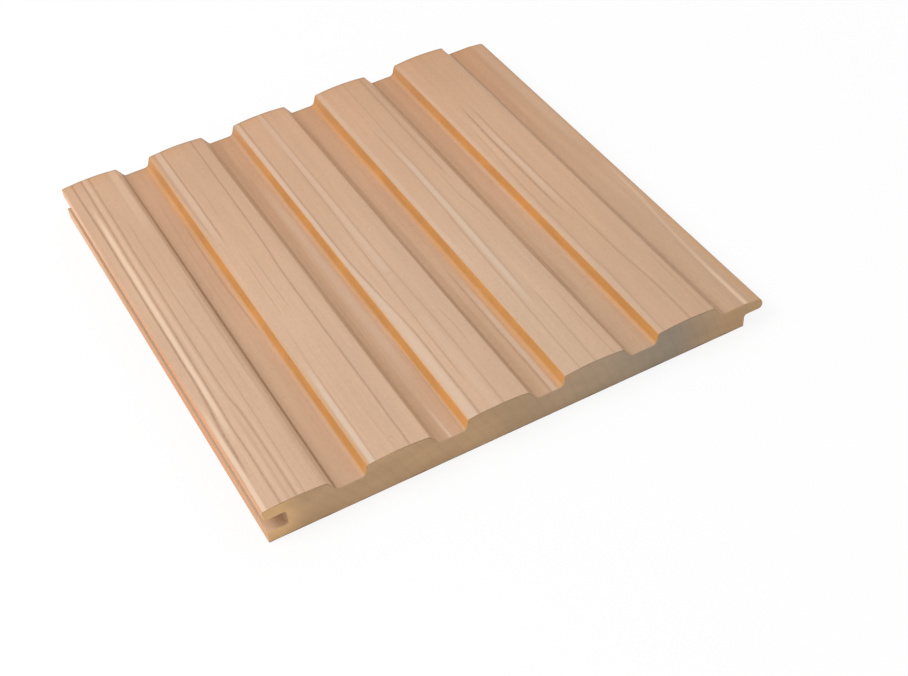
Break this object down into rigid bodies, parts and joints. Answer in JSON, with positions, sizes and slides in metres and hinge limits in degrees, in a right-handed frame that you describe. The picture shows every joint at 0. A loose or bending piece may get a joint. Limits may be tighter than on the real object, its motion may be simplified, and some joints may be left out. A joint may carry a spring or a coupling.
{
  "type": "ribbed tongue-and-groove cladding board",
  "caption": "Short length of solid wood-grained cladding board with a ribbed face, a flat back, a slot along one edge and a tongue along the other.",
  "frame": {"origin": "centre of the flat back, half way between the slot edge and the tip of the tongue and half way along the sample", "axes": "+X across the ribs from the slot edge to the tongue, +Y along the ribs, +Z out of the ribbed face"},
  "size_m": [0.19, 0.2, 0.015],
  "materials": {
    "softwood": "matte"
  },
  "bodies": {
    "root": {"cladding_board": "softwood"}
  },
  "joints": []
}
